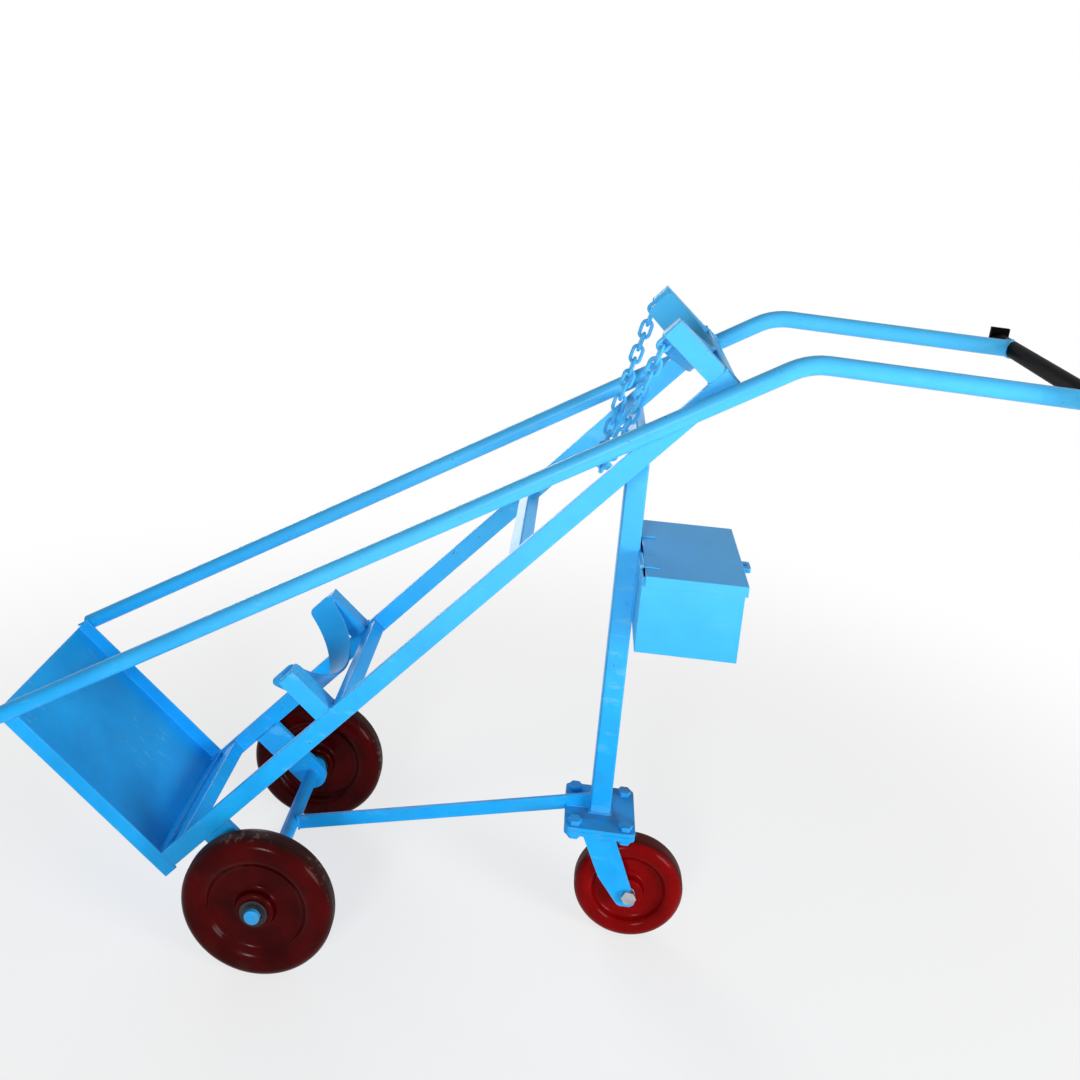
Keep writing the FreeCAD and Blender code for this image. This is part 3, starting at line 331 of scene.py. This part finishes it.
axle_place = (-0.2737, 0.100)
wheel_lit = (0.060, 0.0010, 0.0014, 1)
wheel_deep = (0.034, 0.0006, 0.0008, 1)
wheel_red = cast_red("wheel_red", axle_place, 0.100, wheel_lit, wheel_deep, 900)
bush_bronze = plain_metal("bush_bronze", (0.42, 0.26, 0.11), 0.34, 0.25)
for side in ("left", "right"):
    finished("wheel_" + side, wheel_red, fold=0.0, rim=0.0008, long=1.0, crease=50)
    finished("wheel_bush_" + side, bush_bronze, fold=0.0, rim=0.0004, long=1.0)


# Leg and brace: a square tube stands on the castor and carries the bed, and a flat bar on edge
# ties it to the axle. Both are sawn from stock, welded and sprayed with the frame.
leg_blue = blue_enamel("leg_blue", 0.75, 0.22)
finished("leg_tube", leg_blue, fold=0.0028, rim=0.0003, steps=3)
finished("brace_bar", leg_blue, fold=0.0008, rim=0.0006)


# Castor plates: two 6 mm steel plates under the leg, drawn together by four bolts.
# Plates, bolt heads and nuts were sprayed as one.
# A heavy grime setting, which also greys the plates' top faces as painted shade
plate_blue = blue_enamel("plate_blue", 1.0, 0.62, 0.36)
for name in ("leg_plate", "castor_plate"):
    finished(name, plate_blue, fold=0.0008, rim=0.0008)
for name in ("castor_bolts", "castor_nuts"):
    finished(name, plate_blue, fold=0.0007, rim=0.0007, long=0.004)


# Swivel and fork: balls between two pressed rings turn round a riveted king pin.
# The fork is bent from 4 mm steel sheet and sprayed blue, while the swivel stays bright under its grease.
zinc = plain_metal("zinc", (0.52, 0.53, 0.55), 0.36, 0.12)
greased = plain_metal("greased", (0.16, 0.155, 0.15), 0.30, 0.20)
finished("castor_kingpin", greased, fold=0.0, rim=0.0006, long=1.0)
for name in ("castor_race_upper", "castor_race_lower"):
    finished(name, greased, fold=0.0, rim=0.0005, long=1.0)
finished("castor_balls", greased, fold=0.0, rim=0.0, crease=80)
finished("castor_fork", under_blue, fold=0.0010, rim=0.0008, long=0.03)


# Castor wheel: cast iron like the main wheels, in a brighter red, on a steel bush.
# A zinc plated bolt and nut clamp the bush between the fork's arms.
castor_place = (0.20775, 0.075)
castor_lit = (0.235, 0.0012, 0.0018, 1)
castor_deep = (0.165, 0.0008, 0.0012, 1)
castor_red = cast_red("castor_red", castor_place, 0.075, castor_lit, castor_deep, 1100)
finished("castor_wheel", castor_red, fold=0.0, rim=0.0008, long=1.0, crease=50)
finished("castor_bush", zinc, fold=0.0, rim=0.0004, long=1.0)
finished("castor_axle_bolt", zinc, fold=0.0006, rim=0.0006, long=0.004)
finished("castor_axle_nut", zinc, fold=0.0006, rim=0.0006, long=0.004)


# Toolbox: a box and lid folded from 2 mm sheet, welded to the leg by the box's back.
# Two butt hinges carry the lid, and two lugs take a padlock in front.
box_blue = blue_enamel("box_blue", 0.7, 0.12, 0.28)
finished("toolbox_body", box_blue, fold=0.0011, rim=0.0004, long=0.03, steps=3)
finished("toolbox_lid", box_blue, fold=0.0014, rim=0.0005, long=0.012, steps=3)
for name in ("toolbox_hinge_fixed", "toolbox_hinge_moving"):
    finished(name, box_blue, fold=0.0003, rim=0.0003)
finished("toolbox_hinge_pins", zinc, fold=0.0, rim=0.0003, long=1.0)
for name in ("lid_lug", "toolbox_lug"):
    finished(name, box_blue, fold=0.0005, rim=0.0005)


# Welds: hand laid beads of overlapping drops along every joint of the frame, sprayed with it.
# Each seam is a line on the joint, and drops of uneven size follow one another along it.
# Places on the bed are in millimetres up along it, to the side and out of it.
BED_START = (-422.80, 96.5)
BED_TURN = math.radians(48)
BED_OUT = Vector((-math.sin(BED_TURN), 0, math.cos(BED_TURN)))
ALONG, ACROSS, UPRIGHT = Vector((1, 0, 0)), Vector((0, 1, 0)), Vector((0, 0, 1))


def on_bed(up, side, out):
    along = BED_START[0] + up * math.cos(BED_TURN) - out * math.sin(BED_TURN)
    rise = BED_START[1] + up * math.sin(BED_TURN) + out * math.cos(BED_TURN)
    return Vector((along, side, rise)) * 0.001


def ring(centre, first, second, radius, count=16):
    turns = [math.tau * number / count for number in range(count + 1)]
    return [centre + (first * math.cos(turn) + second * math.sin(turn)) * radius * 0.001 for turn in turns]


RAIL_INSIDE, RAIL_OUTSIDE, RAIL_HALF = 119, 127, 12.5
TRAY_FACE = 0.5
CROSS_TUBES, CROSS_HALF = (43.5, 351.5, 663.5, 856.5, 989), 10
POST_HALF = 12.5
# Each post's middle, the two edges of its strip there, and the angle up to which the strip is welded
POSTS = ((334, (321.5, 342.5), 65.5), (986.5, (974, 998), 68))
STRIP_RADIUS, STRIP_START = 115, 62.5
BRACKET_ENDS = (80.4, 124.4)
AXLE_RADIUS = 10
# The upper rails' line beside the bed, and where their upper and lower sides touch the lower rails and tray
TUBE_START, TUBE_DROP, TUBE_LEAN = 297.9, 0.3153, (0.30, 0.95)
TUBE_TOUCHES = ((5, 926, 978), (-5, 912, 962), (5, 1, 16), (-5, 3, 18))
HANDLE_TURN = math.radians(2.6)
HANDLE_BACK = Vector((-math.cos(HANDLE_TURN), 0, math.sin(HANDLE_TURN)))
HANDLE_UP = Vector((math.sin(HANDLE_TURN), 0, math.cos(HANDLE_TURN)))
EYE_ENDS = ((974, 74), (974, 86))
BRACE_TURN = math.radians(13.23)
BRACE_ALONG = Vector((math.cos(BRACE_TURN), 0, math.sin(BRACE_TURN)))
BRACE_UP = Vector((-math.sin(BRACE_TURN), 0, math.cos(BRACE_TURN)))
PLATE_START, PLATE_TOP, BRACE_TOP = 0.112, 0.187, 0.207
LEG_MIDDLE, LEG_HALF = 0.15775, 0.014
LEG_FRONT, LEG_BACK = LEG_MIDDLE - LEG_HALF, LEG_MIDDLE + LEG_HALF
BOX_LOW, BOX_HIGH = 0.4770, 0.5690
SQUARE = ((-1, -1), (-1, 1), (1, 1), (1, -1), (-1, -1))
seams = []
for side in (-1, 1):
    inside, outside = side * RAIL_INSIDE, side * RAIL_OUTSIDE
    seams.append([on_bed(TRAY_FACE, inside, out) for out in (-RAIL_HALF, RAIL_HALF)])
    for tube in CROSS_TUBES:
        seams.append([on_bed(tube + CROSS_HALF * a, inside, CROSS_HALF * b) for a, b in SQUARE])
    for post, strip_ends, strip_reach in POSTS:
        post_ends = (post - POST_HALF, post + POST_HALF)
        for up in post_ends:
            seams.append([on_bed(up, across, RAIL_HALF) for across in (inside, outside)])
        turns = [math.radians(STRIP_START + (strip_reach - STRIP_START) * step / 3) for step in range(4)]
        for up in strip_ends:
            seams.append([on_bed(up, side * STRIP_RADIUS * math.sin(turn),
                                 RAIL_HALF + STRIP_RADIUS * (1 - math.cos(turn))) for turn in turns])
        seams.append([on_bed(up, inside, RAIL_HALF) for up in post_ends])
    seams.append([on_bed(up, inside, -RAIL_HALF) for up in BRACKET_ENDS])
    axle_end = Vector((axle_place[0], inside * 0.001, axle_place[1]))
    seams.append(ring(axle_end, ALONG, UPRIGHT, AXLE_RADIUS))
    for shift, first, last in TUBE_TOUCHES:
        seams.append([on_bed(up + shift * TUBE_LEAN[0], outside,
                             TUBE_START - up * TUBE_DROP + shift * TUBE_LEAN[1]) for up in (first, last)])
    mouth_middle = Vector((0.63495, side * 0.1381, 0.85208))
    mouth = ring(mouth_middle, ACROSS, HANDLE_UP, 11.3, 24)
    seams.append([point + HANDLE_BACK * abs(point.y - mouth_middle.y) for point in mouth])
    for up, out in EYE_ENDS:
        seams.append(ring(on_bed(up, inside, out), ACROSS, BED_OUT, 2.7, 8))
    brace_side = side * 0.0025
    brace_start = Vector((axle_place[0], brace_side, axle_place[1])) + BRACE_ALONG * 0.010
    seams.append([brace_start + BRACE_UP * rise for rise in (-0.009, 0.009)])
    brace_foot = ((PLATE_START, PLATE_TOP), (LEG_FRONT, PLATE_TOP), (LEG_FRONT, BRACE_TOP))
    seams.append([Vector((along, brace_side, rise)) for along, rise in brace_foot])
    seams.append([Vector((LEG_BACK, side * LEG_HALF, rise)) for rise in (BOX_LOW, BOX_HIGH)])
seams.append([Vector((LEG_MIDDLE + LEG_HALF * a, LEG_HALF * b, PLATE_TOP)) for b, a in SQUARE])
for up in (846.5, 866.5):
    seams.append([on_bed(up, across, -CROSS_HALF) for across in (-14, 14)])

weld_blue = blue_enamel("weld_blue", 0.5, 0.40, 0.36)
bead_group = bpy.data.node_groups.new("weld_beads", "GeometryNodeTree")
bead_inputs = {}
for label, kind in (("Seams", "Geometry"), ("Pitch", "Float"), ("Drop radius", "Float"), ("Seed", "Int")):
    bead_inputs[label] = bead_group.interface.new_socket(label, in_out="INPUT",
                                                         socket_type="NodeSocket" + kind)
bead_group.interface.new_socket("Beads", in_out="OUTPUT", socket_type="NodeSocketGeometry")
beads = Graph(bead_group)
given = {label: beads.node("NodeGroupInput", output=label) for label in bead_inputs}
line = beads.node("GeometryNodeMeshToCurve", {}, {"Mesh": given["Seams"]})
dots = beads.node("GeometryNodeResampleCurve", {"mode": "LENGTH"},
                  {"Curve": line, "Length": given["Pitch"]})
drop = beads.node("GeometryNodeMeshUVSphere", {},
                  {"Segments": 8, "Rings": 5, "Radius": given["Drop radius"]})
uneven = beads.node("FunctionNodeRandomValue", {"data_type": "FLOAT_VECTOR"},
                    {0: (0.72, 0.72, 0.72), 1: (1.22, 1.22, 1.22), "Seed": given["Seed"]})
turned = beads.node("FunctionNodeRandomValue", {"data_type": "FLOAT_VECTOR"},
                    {0: (0.0, 0.0, 0.0), 1: (math.tau, math.tau, math.tau), "Seed": given["Seed"]})
laid = beads.node("GeometryNodeInstanceOnPoints", {},
                  {"Points": dots, "Instance": drop, "Rotation": turned, "Scale": uneven})
solid = beads.node("GeometryNodeRealizeInstances", {}, {"Geometry": laid})
smooth = beads.node("GeometryNodeSetShadeSmooth", {}, {"Geometry": solid})
coated = beads.node("GeometryNodeSetMaterial", {}, {"Geometry": smooth, "Material": weld_blue})
beads.node("NodeGroupOutput", {}, {"Beads": coated})

points, lines = [], []
for seam in seams:
    lines += [(len(points) + number, len(points) + number + 1) for number in range(len(seam) - 1)]
    points += [tuple(point) for point in seam]
seam_mesh = bpy.data.meshes.new("seam_lines")
seam_mesh.from_pydata(points, lines, [])
welds = bpy.data.objects.new("frame_welds", seam_mesh)
bpy.context.scene.collection.objects.link(welds)
layer = welds.modifiers.new("beads", "NODES")
layer.node_group = bead_group
layer[bead_inputs["Pitch"].identifier] = 0.0019
layer[bead_inputs["Drop radius"].identifier] = 0.0021
layer[bead_inputs["Seed"].identifier] = 7
seen = welds.evaluated_get(bpy.context.evaluated_depsgraph_get())
bead_mesh = bpy.data.meshes.new_from_object(seen)
welds.modifiers.clear()
welds.data = bead_mesh
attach(welds, "frame")


# Studio: a plain pale floor and background, a soft lamp by the camera, wider ones at the side
# and behind, and the camera where the photograph was taken from.
def lamp(name, place, aim, width, power):
    light = bpy.data.lights.new(name, "AREA")
    light.shape = "DISK"
    light.size = width
    light.energy = power
    holder = bpy.data.objects.new(name, light)
    bpy.context.scene.collection.objects.link(holder)
    holder.location = place
    holder.rotation_euler = (Vector(aim) - Vector(place)).to_track_quat("-Z", "Y").to_euler()


lamp("key_lamp", (-0.6, -3.2, 1.35), (0, 0, 0.45), 0.7, 50)
lamp("side_lamp", (2.6, -1.8, 1.0), (0, 0, 0.4), 1.4, 68)
lamp("back_lamp", (-1.4, 2.6, 0.95), (0, 0, 0.4), 1.8, 45)


def seen_white(graph):
    path = graph.node("ShaderNodeLightPath", output="Is Camera Ray")
    outputs = path.socket.node.outputs
    gloss = Signal(graph, outputs["Is Glossy Ray"])
    through = Signal(graph, outputs["Is Transmission Ray"])
    return (path + gloss + through).between(0.0, 1.0)


floor_mesh = bpy.data.meshes.new("studio_floor")
floor_mesh.from_pydata([(-14, -14, 0), (14, -14, 0), (14, 14, 0), (-14, 14, 0)], [], [(0, 1, 2, 3)])
floor = bpy.data.objects.new("studio_floor", floor_mesh)
bpy.context.scene.collection.objects.link(floor)
pale = Finish("studio_pale")
apart = pale.node("ShaderNodeVectorMath", {"operation": "LENGTH"}, {0: pale.place}, output="Value")
card = pale.node("ShaderNodeBsdfDiffuse", {}, {"Color": (0.88, 0.88, 0.88, 1)})
glow = pale.node("ShaderNodeEmission", {}, {"Color": (1, 1, 1, 1), "Strength": 1.0})
whiteness = seen_white(pale) * (0.68 + apart.between(0.7, 1.7) * 0.32)
lit_floor = pale.node("ShaderNodeMixShader", {}, {0: whiteness, 1: card, 2: glow})
pale.node("ShaderNodeOutputMaterial", {}, {"Surface": lit_floor})
floor_mesh.materials.append(pale.material)

world = bpy.data.worlds.new("studio")
bpy.context.scene.world = world
world.use_nodes = True
sky = Graph(world.node_tree)
dim = sky.node("ShaderNodeBackground", {}, {"Color": (1, 1, 1, 1), "Strength": 0.22})
bright = sky.node("ShaderNodeBackground", {}, {"Color": (1, 1, 1, 1), "Strength": 1.0})
surround = sky.node("ShaderNodeMixShader", {}, {0: seen_white(sky), 1: dim, 2: bright})
sky.node("ShaderNodeOutputWorld", {}, {"Surface": surround})

camera = bpy.data.objects.new("photo_camera", bpy.data.cameras.new("photo_camera"))
camera.data.lens = 38.41
camera.data.sensor_width = 36
camera.data.shift_x = 0.0706
camera.data.shift_y = -0.1555
turn = Matrix.Rotation(math.radians(5.5), 4, "Z")
tilt = Matrix.Rotation(math.radians(90 - 13.8), 4, "X")
roll = Matrix.Rotation(math.radians(4.1), 4, "Z")
camera.matrix_world = Matrix.Translation((0.0633, -1.4189, 1.1349)) @ turn @ tilt @ roll
bpy.context.scene.collection.objects.link(camera)
bpy.context.scene.camera = camera
bpy.context.scene.view_settings.view_transform = "Standard"
